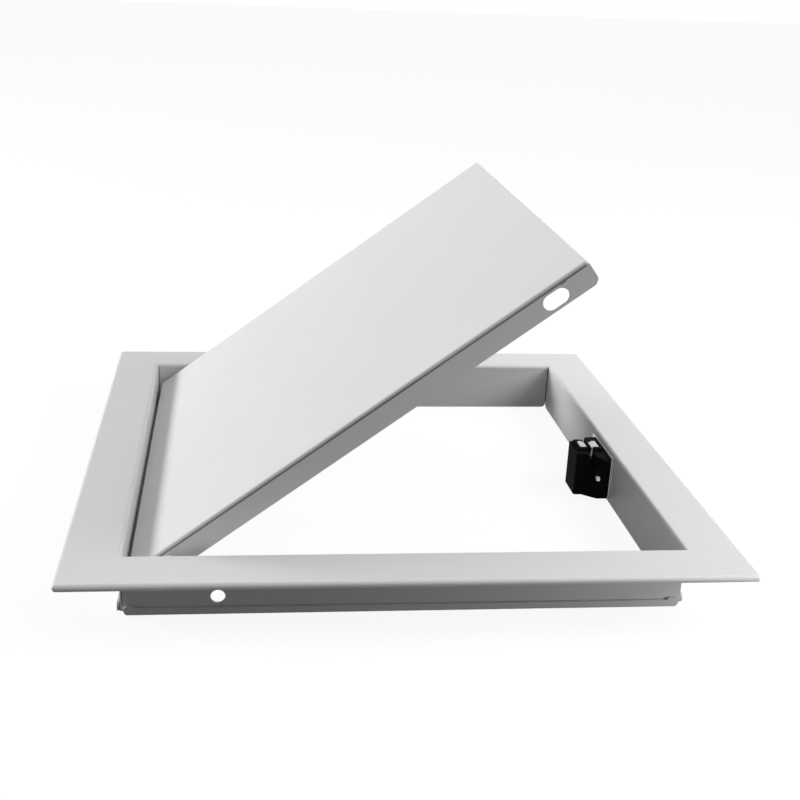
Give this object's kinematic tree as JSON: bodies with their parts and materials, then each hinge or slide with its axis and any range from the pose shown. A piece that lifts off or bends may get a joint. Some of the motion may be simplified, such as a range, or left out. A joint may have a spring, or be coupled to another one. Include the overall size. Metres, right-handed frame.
{
  "type": "ceiling access panel",
  "caption": "Square flanged ceiling access frame with a hinged tray door and a push latch with two jaws, for reaching services behind a ceiling.",
  "frame": {"origin": "centre of the panel at the lower edges of the walls, on which it stands face up", "axes": "+Z out of the visible face, +X from the hinge side to the latch side, +Y from the front wall to the rear wall"},
  "size_m": [0.35, 0.35, 0.1854],
  "materials": {
    "powder_coat": "satin",
    "zinc": "satin",
    "spring_steel": "satin",
    "nylon": "matte",
    "black_plastic": "matte"
  },
  "bodies": {
    "frame": {"frame_sheet": "powder_coat", "hinge_pin_front": "zinc", "hinge_pin_rear": "zinc", "hinge_spacers": "nylon", "hinge_washers": "zinc", "hinge_clips": "zinc", "latch_packing_plate": "zinc", "latch_housing": "black_plastic", "latch_cover": "black_plastic", "latch_screws": "zinc", "latch_nuts": "zinc", "latch_spring": "spring_steel"},
    "door": {"door_tray": "powder_coat", "hinge_bush_front": "nylon", "hinge_bush_rear": "nylon"},
    "slider": {"latch_slider": "black_plastic", "jaw_pins": "zinc"},
    "inner_jaw": {"jaw_inner": "zinc"},
    "outer_jaw": {"jaw_outer": "zinc"}
  },
  "joints": [
    {"name": "door_hinge", "type": "hinge", "parent": "frame", "child": "door", "pos_m": [-0.1224, 0, 0.0251], "axis": [0, -1, 0], "range_deg": [-36.9, 93.1]},
    {"name": "latch_slide", "type": "slide", "parent": "frame", "child": "slider", "axis": [0, 0, 1], "range_m": [-0.0055, 0], "stiffness_N_per_m": 400, "springref_m": 0.008, "deforming": ["latch_spring"]},
    {"name": "inner_jaw_pivot", "type": "hinge", "parent": "slider", "child": "inner_jaw", "pos_m": [0.1304, 0, 0.015], "axis": [0, 1, 0], "range_deg": [0, 5]},
    {"name": "outer_jaw_pivot", "type": "hinge", "parent": "slider", "child": "outer_jaw", "pos_m": [0.1386, 0, 0.015], "axis": [0, -1, 0], "range_deg": [0, 5]}
  ],
  "couplings": [
    {"joint": "inner_jaw_pivot", "follows": "latch_slide", "rad_per_m": -15.54},
    {"joint": "outer_jaw_pivot", "follows": "latch_slide", "rad_per_m": -15.54}
  ]
}
